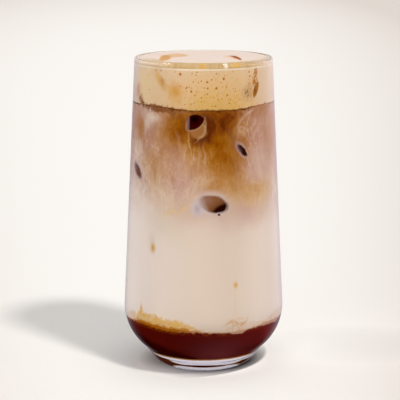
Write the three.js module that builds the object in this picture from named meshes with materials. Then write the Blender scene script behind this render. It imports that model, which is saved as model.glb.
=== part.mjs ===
// An iced latte in a tall clear tumbler, in millimetres, +Z up. The origin is the middle of the glass's
// underside, on the table, and -Y is the side that faces the viewer.
//
// The glass is one blown piece: a small flat foot, a round bowl, a belly low down, and a wall that tapers
// to the rim. The drink lies in it in four layers, each a solid that runs right through: red sauce, milk,
// coffee that hangs down into the milk in lobes, and cold foam that domes just over the rim, with crests
// in two places where ice under it pushes the foam up.
import * as THREE from "three";

// Driving dimensions of the glass.
const GLASS_HEIGHT = 150;
const RIM_RADIUS = 32.9;
const RIM_WALL = 1.7;
const BELLY_RADIUS = 38.75;
const BELLY_HEIGHT = 29;
const BELLY_WALL = 2.3;
const BOWL_ARC = 25.5; // radius of the arc from the belly down to the foot
const FOOT_TOP = 9.2; // the foot meets the bowl in a faint crease here
const HEEL_ARC = 10; // radius of the rounding between the foot's side and the underside
const HEEL_TURN = 54; // degrees of that rounding
const REST_RADIUS = 17.5; // the flat face that the glass stands on
const FLOOR_HEIGHT = 8.2; // top of the thick clear base, inside
const FLOOR_FILLET = 4; // the floor's height gained where it turns up into the bowl
const FILLET_START = -30; // degrees below level where the floor's rounding meets the bowl

// Driving dimensions of the drink.
const WALL_GAP = 0.3; // between the drink and the glass
const LAYER_GAP = 0.3; // between one layer and the next
const SAUCE_LEVEL = 24.7;
const COFFEE_LEVEL = 84; // mean height where the coffee gives way to milk
const FOAM_BASE = 129;
const FOAM_EDGE = 147.4; // the foam leaves the glass's wall here, below the rim
const FOAM_SHOULDER_RISE = 2.5;
const FOAM_SHOULDER_WIDTH = 2.4;
const FOAM_DOME = 0.8; // further rise from the shoulder to the middle

// Waves round the wall where two layers meet: height, number in a full turn, and phase in radians. Angles
// go round from the viewer's side, positive to the right.
const SAUCE_WAVES = [
  { height: 0.7, count: 3, phase: -2.2 },
  { height: 0.25, count: 7, phase: 1.8 },
];
const COFFEE_LOBES = [
  { height: 7, count: 2, phase: 2.6 },
  { height: 4, count: 3, phase: 0.5 },
  { height: 2.5, count: 7, phase: 0 },
];
const FOAM_WAVES = [
  { height: 0.6, count: 3, phase: -2 },
  { height: 0.15, count: 8, phase: 0.6 },
];

// Crests where ice lifts the foam: each is at x, y, runs at an angle in degrees, and is steep on its right
// or front side and soft behind. The first two meet in a corner over one cube.
const ICE_CRESTS = [
  { x: -18.7, y: -13.5, turn: 73, height: 1.7, length: 8, front: 1.5, behind: 7 },
  { x: -12.5, y: -4.5, turn: 20, height: 1.3, length: 5, front: 1.5, behind: 5 },
  { x: 15.2, y: -11.5, turn: 110, height: 0.9, length: 7, front: 1.2, behind: 5 },
];

const COLOURS = { glass: 0xf4f6f6, sauce: 0x4f0f0c, milk: 0xdcc6b3, coffee: 0x8a5222, foam: 0xe3c29a };
const CLEARNESS = 0.3; // how much of the glass's own colour shows

// How finely the solids are divided.
const GLASS_SEGMENTS = 64;
const HEEL_STEPS = 5;
const BOWL_STEPS = 9;
const LIP_STEPS = 6;
const CAVITY_STEPS = 7; // up the inside of the bowl
const FILLET_STEPS = 2;
const WALL_HEIGHTS = [70, 110]; // rings part way up the tapering wall
const WALL_STEPS = { sauce: 6, milk: 9, coffee: 5, foam: 3 }; // up the wall, in each layer
const DRINK_SEGMENTS = 60;
const HIDDEN_RINGS = 5; // across the hidden face between two layers
const OPEN_RINGS = 11; // across the foam's open top, inside its shoulder
const OPEN_SHARE = 0.98; // of the open top's radius that those rings reach towards the shoulder
const SHOULDER_SHARES = [0.93, 0.965, 0.985];

const { degToRad, lerp, mapLinear, radToDeg } = THREE.MathUtils;

// The glass's outline, outside and inside, as [r, z] points.

const BOWL_CENTRE = [BELLY_RADIUS - BOWL_ARC, BELLY_HEIGHT];
const FILLET_TOP = FLOOR_HEIGHT + FLOOR_FILLET;

// Points along an arc about [r, z], from one angle to another, in degrees from the outward direction.
function arc(centre, radius, from, to, steps) {
  return Array.from({ length: steps + 1 }, (_, i) => {
    const angle = degToRad(lerp(from, to, i / steps));
    return [centre[0] + radius * Math.cos(angle), centre[1] + radius * Math.sin(angle)];
  });
}

// Outer radius of the tapering wall above the belly.
function wallRadius(z) {
  return mapLinear(z, BELLY_HEIGHT, GLASS_HEIGHT, BELLY_RADIUS, RIM_RADIUS);
}

// Radius of the cavity at a height. The inner bowl is an arc about the same centre, less the wall.
function cavityRadius(z) {
  if (z >= BELLY_HEIGHT) {
    return wallRadius(z) - mapLinear(z, BELLY_HEIGHT, GLASS_HEIGHT, BELLY_WALL, RIM_WALL);
  }
  return BOWL_CENTRE[0] + Math.sqrt((BOWL_ARC - BELLY_WALL) ** 2 - (BELLY_HEIGHT - z) ** 2);
}

// The cavity's floor and the rounding that turns it up into the bowl, less a gap, from the middle out.
function cavityFloor(gap = 0) {
  const corner = [cavityRadius(FILLET_TOP) - FLOOR_FILLET, FILLET_TOP];
  return [[0, FLOOR_HEIGHT + gap], ...arc(corner, FLOOR_FILLET - gap, -90, FILLET_START, FILLET_STEPS)];
}

// A solid turned about Z from [r, z] points that start and end on the axis.
function turned(profile, segments) {
  const points = profile.map(([r, z]) => new THREE.Vector2(r, z));
  return new THREE.LatheGeometry(points, segments).rotateX(Math.PI / 2);
}

function part(name, geometry, roughness, extra = {}) {
  const color = COLOURS[name];
  const material = new THREE.MeshStandardMaterial({ color, roughness, metalness: 0, ...extra });
  const mesh = new THREE.Mesh(geometry, material);
  mesh.name = name;
  return mesh;
}

function glass() {
  const bowlStart = radToDeg(Math.asin((FOOT_TOP - BELLY_HEIGHT) / BOWL_ARC));
  const lip = RIM_WALL / 2;
  const outside = [
    [0, 0],
    ...arc([REST_RADIUS, HEEL_ARC], HEEL_ARC, -90, -90 + HEEL_TURN, HEEL_STEPS),
    ...arc(BOWL_CENTRE, BOWL_ARC, bowlStart, 0, BOWL_STEPS),
    ...WALL_HEIGHTS.map((z) => [wallRadius(z), z]),
    ...arc([RIM_RADIUS - lip, GLASS_HEIGHT - lip], lip, 0, 180, LIP_STEPS),
  ];
  const bowlHeights = Array.from({ length: CAVITY_STEPS + 1 }, (_, i) =>
    lerp(FILLET_TOP, BELLY_HEIGHT, i / CAVITY_STEPS),
  );
  const inside = [
    ...cavityFloor(),
    ...[...bowlHeights, ...WALL_HEIGHTS].map((z) => [cavityRadius(z), z]),
  ].reverse();
  const clear = { transparent: true, opacity: CLEARNESS };
  return part("glass", turned([...outside, ...inside], GLASS_SEGMENTS), 0.03, clear);
}

// Where one layer meets the next: a height from the angle round the drink and a share of 0 at the axis
// and 1 at the wall.

function waves(list, angle) {
  return list.reduce((sum, { height, count, phase }) => sum + height * Math.sin(count * angle + phase), 0);
}

function sauceTop(angle, share) {
  return SAUCE_LEVEL + share * waves(SAUCE_WAVES, angle);
}

function milkTop(angle, share) {
  return COFFEE_LEVEL + share * waves(COFFEE_LOBES, angle);
}

function coffeeTop(angle, share) {
  return FOAM_BASE + share * waves(FOAM_WAVES, angle);
}

function crestHeight(crest, x, y) {
  const turn = degToRad(crest.turn);
  const along = (x - crest.x) * Math.cos(turn) + (y - crest.y) * Math.sin(turn);
  const across = (y - crest.y) * Math.cos(turn) - (x - crest.x) * Math.sin(turn);
  const reach = across < 0 ? crest.front : crest.behind;
  return crest.height * Math.exp(-((along / crest.length) ** 2) - (across / reach) ** 2);
}

// The foam's open top: it leaves the wall, turns over a round shoulder and swells to the middle.
function foamTop(angle, share) {
  const edge = cavityRadius(FOAM_EDGE) - WALL_GAP;
  const radius = share * edge;
  const inward = Math.min(1, (edge - radius) / FOAM_SHOULDER_WIDTH);
  const shoulder = FOAM_SHOULDER_RISE * Math.sqrt(1 - (1 - inward) ** 2);
  const lifted = ICE_CRESTS.reduce(
    (sum, crest) => sum + crestHeight(crest, radius * Math.sin(angle), -radius * Math.cos(angle)),
    0,
  );
  return FOAM_EDGE + shoulder + inward * (FOAM_DOME * (1 - share ** 2) + lifted);
}

// One layer of the drink, from rings that go from the middle of its underside, out, up the wall and back
// to the middle of its top. A ring has its height by angle, and a radius unless it lies on the wall.

function poured(rings) {
  const radiusOf = (ring, z) => ring.radius ?? cavityRadius(z) - WALL_GAP;
  const geometry = turned(
    rings.map((ring) => [radiusOf(ring, ring.height(0)), ring.height(0)]),
    DRINK_SEGMENTS,
  );
  const place = geometry.getAttribute("position");
  for (let i = 0; i < place.count; i += 1) {
    const ring = rings[i % rings.length];
    const angle = Math.atan2(place.getX(i), -place.getY(i));
    const z = ring.height(angle);
    const radius = radiusOf(ring, z);
    place.setXYZ(i, radius * Math.sin(angle), -radius * Math.cos(angle), z);
  }
  return geometry;
}

// Rings across a face that ends on the wall at a level, from the middle out.
function faceRings(shares, level, height) {
  const radius = cavityRadius(level) - WALL_GAP;
  return shares.map((share) => ({ radius: share * radius, height: (angle) => height(angle, share) }));
}

function wallRings(bottom, top, steps) {
  return Array.from({ length: steps + 1 }, (_, i) => ({
    height: (angle) => lerp(bottom(angle, 1), top(angle, 1), i / steps),
  }));
}

function evenShares(count) {
  return Array.from({ length: count }, (_, i) => i / count);
}

const HIDDEN_SHARES = evenShares(HIDDEN_RINGS);

// The face that lies on the layer below, a gap above it.
function onTopOf(height) {
  return (angle, share) => height(angle, share) + LAYER_GAP;
}

function sauce() {
  const floor = cavityFloor(WALL_GAP).map(([radius, z]) => ({ radius, height: () => z }));
  const rings = [
    ...floor,
    ...wallRings(() => FILLET_TOP, sauceTop, WALL_STEPS.sauce),
    ...faceRings(HIDDEN_SHARES, SAUCE_LEVEL, sauceTop).reverse(),
  ];
  return part("sauce", poured(rings), 0.35);
}

function milk() {
  const bottom = onTopOf(sauceTop);
  const rings = [
    ...faceRings(HIDDEN_SHARES, SAUCE_LEVEL, bottom),
    ...wallRings(bottom, milkTop, WALL_STEPS.milk),
    ...faceRings(HIDDEN_SHARES, COFFEE_LEVEL, milkTop).reverse(),
  ];
  return part("milk", poured(rings), 0.45);
}

function coffee() {
  const bottom = onTopOf(milkTop);
  const rings = [
    ...faceRings(HIDDEN_SHARES, COFFEE_LEVEL, bottom),
    ...wallRings(bottom, coffeeTop, WALL_STEPS.coffee),
    ...faceRings(HIDDEN_SHARES, FOAM_BASE, coffeeTop).reverse(),
  ];
  return part("coffee", poured(rings), 0.4);
}

function foam() {
  const bottom = onTopOf(coffeeTop);
  const openShares = evenShares(OPEN_RINGS).map((share) => share * OPEN_SHARE);
  const rings = [
    ...faceRings(HIDDEN_SHARES, FOAM_BASE, bottom),
    ...wallRings(bottom, () => FOAM_EDGE, WALL_STEPS.foam),
    ...faceRings([...openShares, ...SHOULDER_SHARES], FOAM_EDGE, foamTop).reverse(),
  ];
  return part("foam", poured(rings), 0.7);
}

const latte = new THREE.Group();
latte.add(glass(), sauce(), milk(), coffee(), foam());
export default latte;
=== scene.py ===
import itertools
import math
import random

import bpy
import numpy as np
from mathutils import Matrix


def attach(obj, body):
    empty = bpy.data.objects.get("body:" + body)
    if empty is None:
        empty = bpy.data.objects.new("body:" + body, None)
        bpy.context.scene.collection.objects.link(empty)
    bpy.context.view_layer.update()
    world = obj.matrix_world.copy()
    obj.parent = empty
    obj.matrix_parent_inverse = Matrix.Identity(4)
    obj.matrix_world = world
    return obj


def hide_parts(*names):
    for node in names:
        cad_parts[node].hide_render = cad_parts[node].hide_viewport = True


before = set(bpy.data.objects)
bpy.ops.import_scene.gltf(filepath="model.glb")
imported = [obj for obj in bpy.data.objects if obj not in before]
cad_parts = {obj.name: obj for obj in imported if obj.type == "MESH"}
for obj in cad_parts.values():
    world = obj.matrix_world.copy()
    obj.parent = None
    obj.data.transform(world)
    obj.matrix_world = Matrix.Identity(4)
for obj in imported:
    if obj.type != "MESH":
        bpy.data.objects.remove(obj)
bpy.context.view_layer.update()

# The camera
# A long lens a step away from the glass, a little above its rim, looking slightly down. The glass's axis
# falls just right of the middle of the picture.
MM = 0.001
EYE = (-1.7 * MM, -702.5 * MM, 222.8 * MM)
LOOK_DOWN = 11.47
LENS = 132.9

lens = bpy.data.cameras.new("camera")
lens.sensor_width = 36
lens.lens = LENS
lens.clip_start = 0.01
lens.clip_end = 100
camera = bpy.data.objects.new("camera", lens)
camera.location = EYE
camera.rotation_euler = (math.radians(90 - LOOK_DOWN), 0, 0)
bpy.context.scene.collection.objects.link(camera)
bpy.context.scene.camera = camera


# The table and the light
# A wide matt table top in warm white, which runs back out of sight. Its paint carries a painted pool of
# light under the glass, a painted shadow under the bowl and a painted shade to its right. One lamp stands
# far off, high at the right and in front. A weaker one at the left fills in its shadows and throws none of
# its own. The pale ceiling of the room and a pale wall far behind light the rest.
class Wire:
    """A number that a material works out. Each operator adds the Math node that does it."""

    def __init__(self, finish, socket):
        self.finish = finish
        self.socket = socket

    def math(self, operation, *others, clamp=False):
        values = dict(enumerate((self, *others)))
        return self.finish.wire("Math", {"operation": operation, "use_clamp": clamp}, values)

    def flipped(self, operation, other):
        return self.finish.wire("Math", {"operation": operation}, {0: other, 1: self})

    def __add__(self, other):
        return self.math("ADD", other)

    def __sub__(self, other):
        return self.math("SUBTRACT", other)

    def __mul__(self, other):
        return self.math("MULTIPLY", other)

    def __truediv__(self, other):
        return self.math("DIVIDE", other)

    def __radd__(self, other):
        return self.flipped("ADD", other)

    def __rsub__(self, other):
        return self.flipped("SUBTRACT", other)

    def __rmul__(self, other):
        return self.flipped("MULTIPLY", other)

    def __neg__(self):
        return self.flipped("MULTIPLY", -1)

    def clamped(self):
        return self.math("ADD", 0, clamp=True)


class Finish:
    """The nodes of a material, or of the room's light."""

    def __init__(self, owner):
        owner.use_nodes = True
        self.owner = owner
        self.nodes = owner.node_tree.nodes
        self.links = owner.node_tree.links
        self.nodes.clear()

    def node(self, kind, settings=None, inputs=None):
        node = self.nodes.new("ShaderNode" + kind)
        for name, value in (settings or {}).items():
            if name == "stops":
                ramp = node.color_ramp.elements
                while len(ramp) < len(value):
                    ramp.new(1)
                for element, (place, colour) in zip(ramp, value):
                    element.position = place
                    element.color = colour
            else:
                setattr(node, name, value)
        for name, value in (inputs or {}).items():
            if isinstance(value, Wire):
                self.links.new(value.socket, node.inputs[name])
            elif isinstance(value, bpy.types.NodeSocket):
                self.links.new(value, node.inputs[name])
            else:
                node.inputs[name].default_value = value
        return node

    def wire(self, kind, settings=None, inputs=None, output=0):
        return Wire(self, self.node(kind, settings, inputs).outputs[output])

    def parts(self, vector):
        return [self.wire("SeparateXYZ", None, {0: vector}, i) for i in range(3)]

    def blend(self, share, first, second):
        """A colour that goes from the first to the second as share goes from 0 to 1."""
        settings = {"data_type": "RGBA", "clamp_factor": True}
        return self.node("Mix", settings, {0: share, 6: first, 7: second}).outputs[2]

    def shaded(self, sockets):
        """The finished material, from what each socket of its main shader takes."""
        return self.surface(self.node("BsdfPrincipled", None, sockets))

    def surface(self, shader):
        kind = "OutputWorld" if isinstance(self.owner, bpy.types.World) else "OutputMaterial"
        self.node(kind, None, {"Surface": shader.outputs[0]})
        return self.owner


class Coat:
    """A surface's colour, laid on in layers from the first one up."""

    def __init__(self, finish, colour):
        self.finish = finish
        self.colour = colour

    def over(self, share, colour):
        """One more layer, which hides what is under it as much as its share, from 0 to 1."""
        self.colour = self.finish.blend(share, self.colour, colour)


def material(name):
    return Finish(bpy.data.materials.new(name))


def paint(red, green, blue):
    """A display colour, 0 to 255 a channel, as the linear colour that a shader takes."""
    shares = (max(0, channel) / 255 for channel in (red, green, blue))
    linear = [s / 12.92 if s <= 0.04045 else ((s + 0.055) / 1.055) ** 2.4 for s in shares]
    return (*linear, 1)


def mesh_object(name, points, faces, finish):
    """An object from points in mm. Edges at which it turns by less than 50 degrees look smooth."""
    mesh = bpy.data.meshes.new(name)
    mesh.from_pydata([tuple(p) for p in np.asarray(points, float) * MM], [], faces)
    mesh.polygons.foreach_set("use_smooth", [True] * len(mesh.polygons))
    mesh.set_sharp_from_angle(angle=math.radians(50))
    mesh.materials.append(finish)
    mesh.update()
    piece = bpy.data.objects.new(name, mesh)
    bpy.context.scene.collection.objects.link(piece)
    return piece


TABLE_RADIUS = 9000
TABLE_PAINTED_LIT = paint(252, 248, 243)
TABLE_PAINTED_DIM = paint(225, 216, 208)
# A painted pool of light: the table is painted palest along a strip under the glass, which leans to the
# left and widens as it runs back, and opens out towards the viewer. All are in mm, but the last two, which
# are in mm for each mm back.
PALE_MIDDLE_BACK = 500
PALE_LENGTH = 2620
PALE_SHIFT = 12
PALE_WIDTH = 127
PALE_LEAN = 0.038
PALE_SPREAD = 0.195
# A painted shadow, as little light gets in under the bowl of the glass. The painted dark there starts from
# nothing at DARK_REACH from DARK_MIDDLE, grows to black at DARK_CORE, and ends sharply at a wide arc on
# the lamp's side, all in mm.
DARK_MIDDLE = (3.5, 2)
DARK_CORE = 19
DARK_REACH = 36
ARC_MIDDLE = (-13.8, 14.6)
ARC_RADIUS = 45.4
ARC_BLUR = 1.6
# A painted shade: the white of the drink lights up the table to its right, so the table is painted duller
# there. All are in mm, but the last, which is the share of the light that is taken.
GLOW_MIDDLE = (78, 26)
GLOW_REACH = (52, 34)
GLOW_TAKEN = 0.115
BLACK = (0, 0, 0, 1)
# The lamps: degrees round from the viewer's side to the right, degrees up, degrees across, strength.
MAIN_LAMP = (43.5, 53.3, 7.5, 1.38)
FILL_LAMP = (-70, 35, 20, 0.84)
WARM = (1, 0.98, 0.96)
COOL = (0.975, 0.987, 1)
ZENITH = 0.88  # the room's light from straight above
HORIZON = 0.1
BACKDROP = 0.8  # a pale wall far behind
FAR_SIDE = 0.8  # how bright the table behind is that the glass mirrors
FAR_TINT = (0.95, 0.87, 1.0, 1)


def table_top():
    finish = material("table_top")
    across, back, _ = (part / MM for part in finish.parts(finish.node("TexCoord").outputs["Object"]))
    # The painted pool of light: the paint goes from pale to dull away from the strip under the glass.
    half_width = (back * PALE_SPREAD + PALE_WIDTH).math("MAXIMUM", 10 - back)
    sideways = (across + back * PALE_LEAN + PALE_SHIFT) / half_width
    away = (back - PALE_MIDDLE_BACK) / PALE_LENGTH
    off_painted_pool = (sideways * sideways + away * away).math("SQRT")
    coat = Coat(finish, finish.blend(off_painted_pool * off_painted_pool * off_painted_pool * 0.8, TABLE_PAINTED_LIT, TABLE_PAINTED_DIM))

    def distance(middle):
        x, y = across - middle[0], back - middle[1]
        return (x * x + y * y).math("SQRT")

    # Painted shadow under the bowl of the glass, ending sharply at the arc on the lamp's side.
    dark = ((DARK_REACH - distance(DARK_MIDDLE)) / (DARK_REACH - DARK_CORE)).clamped()
    inside = ((ARC_RADIUS - distance(ARC_MIDDLE)) / ARC_BLUR + 0.5).clamped()
    coat.over(dark * inside, BLACK)
    # Painted shade on the table to the right of the glass.
    glow_x = (across - GLOW_MIDDLE[0]) / GLOW_REACH[0]
    glow_y = (back - GLOW_MIDDLE[1]) / GLOW_REACH[1]
    glow = (1 - glow_x * glow_x - glow_y * glow_y).clamped()
    coat.over(glow * GLOW_TAKEN, BLACK)
    return finish.shaded({"Base Color": coat.colour, "Roughness": 0.8, "Specular IOR Level": 0})


def room_light():
    """Above the table's level this is the room. Below it, where the table hides it from all but the mirror
    images in the glass, it is dark in front and as bright as the table behind."""
    finish = Finish(bpy.data.worlds.new("room"))
    right, back, up = finish.parts(finish.node("TexCoord").outputs["Generated"])
    room = ZENITH * up * up + HORIZON * (1 - up * up) * (1 - right)
    room = room + BACKDROP * (back * 3 - 0.6).clamped() * (1 - up * 2.2).clamped()
    mirrored = (back * 2.5 - 0.9).clamped() * (1 + up * 1.6).clamped() * FAR_SIDE * (1 + right * 0.8)
    above = (up * 80).clamped()
    strength = room * above + mirrored * (1 - above)
    colour = finish.blend(above, FAR_TINT, (*COOL, 1))
    return finish.surface(finish.node("Background", None, {"Color": colour, "Strength": strength}))


def far_lamp(name, colour, turn, rise, spread, power):
    light = bpy.data.lights.new(name, "SUN")
    light.color = colour
    light.angle = math.radians(spread)
    light.energy = power
    holder = bpy.data.objects.new(name, light)
    holder.rotation_euler = (math.radians(90 - rise), 0, math.radians(turn))
    bpy.context.scene.collection.objects.link(holder)
    return light


turns = np.linspace(0, 2 * math.pi, 64, endpoint=False)
rim = [(TABLE_RADIUS * math.cos(t), TABLE_RADIUS * math.sin(t), 0) for t in turns]
table = mesh_object("table", rim, [list(range(len(rim)))], table_top())
table.visible_glossy = False

far_lamp("main_lamp", WARM, *MAIN_LAMP)
far_lamp("fill_lamp", COOL, *FILL_LAMP).use_shadow = False
bpy.context.scene.world = room_light()
bpy.context.scene.view_settings.view_transform = "Standard"

# The glass
# One blown tumbler of clear glass: a small flat foot, a round bowl, a belly low down and a wall that
# tapers to a fire-polished rim. Turned from its outline.
HEIGHT = 150
RIM_RADIUS = 32.9
RIM_WALL = 1.7
BELLY_RADIUS = 38.75
BELLY_HEIGHT = 29
BELLY_WALL = 2.3
BOWL_ARC = 25.5
FOOT_TOP = 9.2
HEEL_ARC = 10
HEEL_TURN = 54
REST_RADIUS = 17.5
FLOOR_HEIGHT = 8.2
FLOOR_FILLET = 4
FILLET_START = -30
FILLET_TOP = FLOOR_HEIGHT + FLOOR_FILLET
GLASS_SEGMENTS = 256


def wall_radius(z):
    return np.interp(z, [BELLY_HEIGHT, HEIGHT], [BELLY_RADIUS, RIM_RADIUS])


def cavity_radius(z):
    z = np.asarray(z, float)
    wall = wall_radius(z) - np.interp(z, [BELLY_HEIGHT, HEIGHT], [BELLY_WALL, RIM_WALL])
    drop = np.maximum(BELLY_HEIGHT - z, 0)
    bowl = BELLY_RADIUS - BOWL_ARC + np.sqrt((BOWL_ARC - BELLY_WALL) ** 2 - drop**2)
    return np.where(z >= BELLY_HEIGHT, wall, bowl)


def arc(centre, radius, start, end, steps):
    """Points along an arc about (r, z), from one angle to another, in degrees from straight outward."""
    angles = np.radians(np.linspace(start, end, steps + 1))
    return [(centre[0] + radius * math.cos(a), centre[1] + radius * math.sin(a)) for a in angles]


def cavity_floor(poke=0):
    """The cavity's floor and its rounding up into the bowl, from the middle out. Poke moves them into the
    glass."""
    corner = (float(cavity_radius(FILLET_TOP)) - FLOOR_FILLET, FILLET_TOP)
    return [(0, FLOOR_HEIGHT - poke), *arc(corner, FLOOR_FILLET + poke, -90, FILLET_START, 10)]


def turned(name, rings, segments, finish):
    """A closed solid from rings that go from the axis below, out and round to the axis above. Each is a
    radius and a height, as numbers or as arrays by angle. Angles go from the back, by way of the left."""
    angles = np.linspace(-math.pi, math.pi, segments, endpoint=False)
    points = [(0, 0, float(np.mean(rings[0][1])))]
    for radius, height in rings[1:-1]:
        radius = np.broadcast_to(radius, angles.shape)
        height = np.broadcast_to(height, angles.shape)
        points.extend(zip(radius * np.sin(angles), -radius * np.cos(angles), height))
    points.append((0, 0, float(np.mean(rings[-1][1]))))
    last = len(rings) - 3
    start = [1 + ring * segments for ring in range(last + 1)]
    faces = []
    for j in range(segments):
        k = (j + 1) % segments
        faces.append((0, start[0] + k, start[0] + j))
        faces.append((start[last] + j, start[last] + k, len(points) - 1))
        faces.extend((low + j, low + k, high + k, high + j) for low, high in zip(start, start[1:]))
    return mesh_object(name, points, faces, finish)


def clear_glass():
    finish = material("clear_glass")
    sockets = {"Base Color": (1, 1, 1, 1), "Roughness": 0, "IOR": 1.5, "Transmission Weight": 1}
    clear = finish.node("BsdfPrincipled", None, sockets)
    through = finish.node("BsdfTransparent")
    shadow = finish.wire("LightPath", None, None, "Is Shadow Ray")
    sockets = {0: shadow, 1: clear.outputs[0], 2: through.outputs[0]}
    return finish.surface(finish.node("MixShader", None, sockets))


lip = RIM_WALL / 2
bowl_centre = (BELLY_RADIUS - BOWL_ARC, BELLY_HEIGHT)
bowl_start = math.degrees(math.asin((FOOT_TOP - BELLY_HEIGHT) / BOWL_ARC))
wall_heights = range(40, 149, 12)
outside = [
    (0, 0),
    *arc((REST_RADIUS, HEEL_ARC), HEEL_ARC, -90, -90 + HEEL_TURN, 14),
    *arc(bowl_centre, BOWL_ARC, bowl_start, 0, 28),
    *((float(wall_radius(z)), z) for z in wall_heights),
    *arc((RIM_RADIUS - lip, HEIGHT - lip), lip, 0, 180, 14),
]
inside = [
    *cavity_floor(),
    *((float(cavity_radius(z)), z) for z in np.linspace(FILLET_TOP, BELLY_HEIGHT, 20)),
    *((float(cavity_radius(z)), z) for z in wall_heights),
]
glass = turned("tumbler", [*outside, *inside[::-1]], GLASS_SEGMENTS, clear_glass())
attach(glass, "root")
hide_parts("glass")

# The sauce
# Thick dark red sauce that has sunk to the bottom. It fills the bowl right up to its wall. Its side carries
# painted reflections, lighter in front and at the right, and a painted shade low down at the left. Its
# underside is painted pale, with brown and gold rings and a painted glow, for the light in the thick clear
# base under it.
POKE = 0.12  # how far the drink reaches into the glass's wall, so that no air shows between them
SEGMENTS = 480
SAUCE_LEVEL = 24.7
SAUCE_WAVES = [(0.7, 3, -2.2), (0.25, 7, 1.8)]
UNDERSIDE_TOP = 9  # below this height the wall's colours give way to the underside's
UNDERSIDE_RADIUS = 26.4
GOLD_RADIUS = 26.6
FACE_SHARES = np.array([0.25, 0.5, 0.75, 0.9, 0.97])
MM_A_DEGREE = 0.6  # round the drink's wall
WALL_PASSES = 0.582  # share of the light falling on the drink that comes out through the wall again
WALL_RETURNS = 0.37  # share of what the drink gives off that the wall sends back to it

around = np.linspace(-math.pi, math.pi, SEGMENTS, endpoint=False)


def waves(listed):
    """Heights round the wall from waves, each a height, a number in a full turn and a phase."""
    return sum(height * np.sin(count * around + phase) for height, count, phase in listed)


def face(level, listed):
    """Rings across a face between two layers, from the middle out to the wall."""
    radius = float(cavity_radius(level)) + POKE
    return [(0, level), *((share * radius, level + share * waves(listed)) for share in FACE_SHARES)]


def up_the_wall(bottom, top, steps):
    heights = [(1 - share) * bottom + share * top for share in np.linspace(0, 1, steps + 1)]
    return [(cavity_radius(z) + POKE, z) for z in heights]


def behind(red, green, blue):
    """What to paint the drink so that it shows as a display colour through the glass's wall."""
    shown = paint(red, green, blue)[:3]
    return (*(min(1, channel / (WALL_PASSES + WALL_RETURNS * channel)) for channel in shown), 1)


class WallPlace:
    """Where a point of the drink is: degrees round from the viewer's side, and height in mm."""

    def __init__(self, finish, parts=None):
        self.finish = finish
        if parts is None:
            self.place = finish.node("TexCoord").outputs["Object"]
            self.parts = finish.parts(self.place)
        else:
            self.place = finish.node("CombineXYZ", None, dict(enumerate(parts))).outputs[0]
            self.parts = parts
        x, y, z = self.parts
        self.radius = (x * x + y * y).math("SQRT") / MM
        self.height = z / MM
        self.turn = x.math("ARCTAN2", -y) * (180 / math.pi)

    def lumps(self, size, tall=1.0, detail=2.0, curl=0.0, seed=0.0):
        scale = [1 / (MM * size), 1 / (MM * size), 1 / (MM * size * tall)]
        sockets = {"Vector": self.place, "Location": [seed] * 3, "Scale": scale}
        at = self.finish.node("Mapping", None, sockets)
        sockets = {"Vector": at.outputs[0], "Scale": 1.0, "Detail": detail, "Distortion": curl}
        return self.finish.node("TexNoise", None, sockets)

    def noise(self, size, tall=1.0, detail=2.0, curl=0.0, seed=0.0):
        """Noise about 0, mostly within a third, whose lumps are size mm across and tall times as high."""
        return Wire(self.finish, self.lumps(size, tall, detail, curl, seed).outputs["Fac"]) - 0.5

    def bent(self, size, tall, across, up, seed):
        """The same places, pushed about in lumps by up to about a third of across and up, in mm."""
        push = self.lumps(size, tall, 2.0, 0.0, seed).outputs["Color"]
        split = self.finish.node("SeparateColor", None, {0: push})
        pushes = [Wire(self.finish, output) - 0.5 for output in split.outputs]
        reach = (across * MM, across * MM, up * MM)
        return WallPlace(self.finish, [p * r + part for p, r, part in zip(pushes, reach, self.parts)])

    def from_oval(self, turn, height, wide, high, tilt):
        """The square of how far out a place is from the middle of an oval, where 1 is the oval's edge."""
        cos, sin = math.cos(math.radians(tilt)), math.sin(math.radians(tilt))
        wide = wide * MM_A_DEGREE
        middle = turn * MM_A_DEGREE
        rise = self.height.math("MULTIPLY_ADD", sin / wide, -(middle * cos + height * sin) / wide)
        across = self.turn.math("MULTIPLY_ADD", MM_A_DEGREE * cos / wide, rise)
        fall = (middle * sin - height * cos) / high
        slip = self.turn.math("MULTIPLY_ADD", -MM_A_DEGREE * sin / high, fall)
        above = self.height.math("MULTIPLY_ADD", cos / high, slip)
        return above.math("MULTIPLY_ADD", above, across * across)

    def spot(self, turn, height, wide, high, tilt=0.0):
        """1 in the middle of a soft oval on the wall, going to 0 round it. Its half width is in degrees, its
        half height in mm, and tilt lifts its right end, in degrees."""
        out = self.from_oval(turn, height, wide, high, tilt)
        return self.finish.wire("Math", {"operation": "POWER"}, {0: math.exp(-1), 1: out})

    def oval(self, turn, height, wide, high, tilt=0.0, soft=0.2):
        """1 inside an oval and 0 outside, with an edge whose softness is a share of the oval's size."""
        out = self.from_oval(turn, height, wide, high, tilt).math("SQRT")
        return out.math("MULTIPLY_ADD", -1 / soft, 1 / soft + 0.5, clamp=True)

    def waves(self, level, listed):
        """The height of a wavy line round the wall."""
        angle = self.turn * (math.pi / 180)
        line = level
        for height, count, phase in listed:
            line = (angle * count + phase).math("SINE") * height + line
        return line


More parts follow.
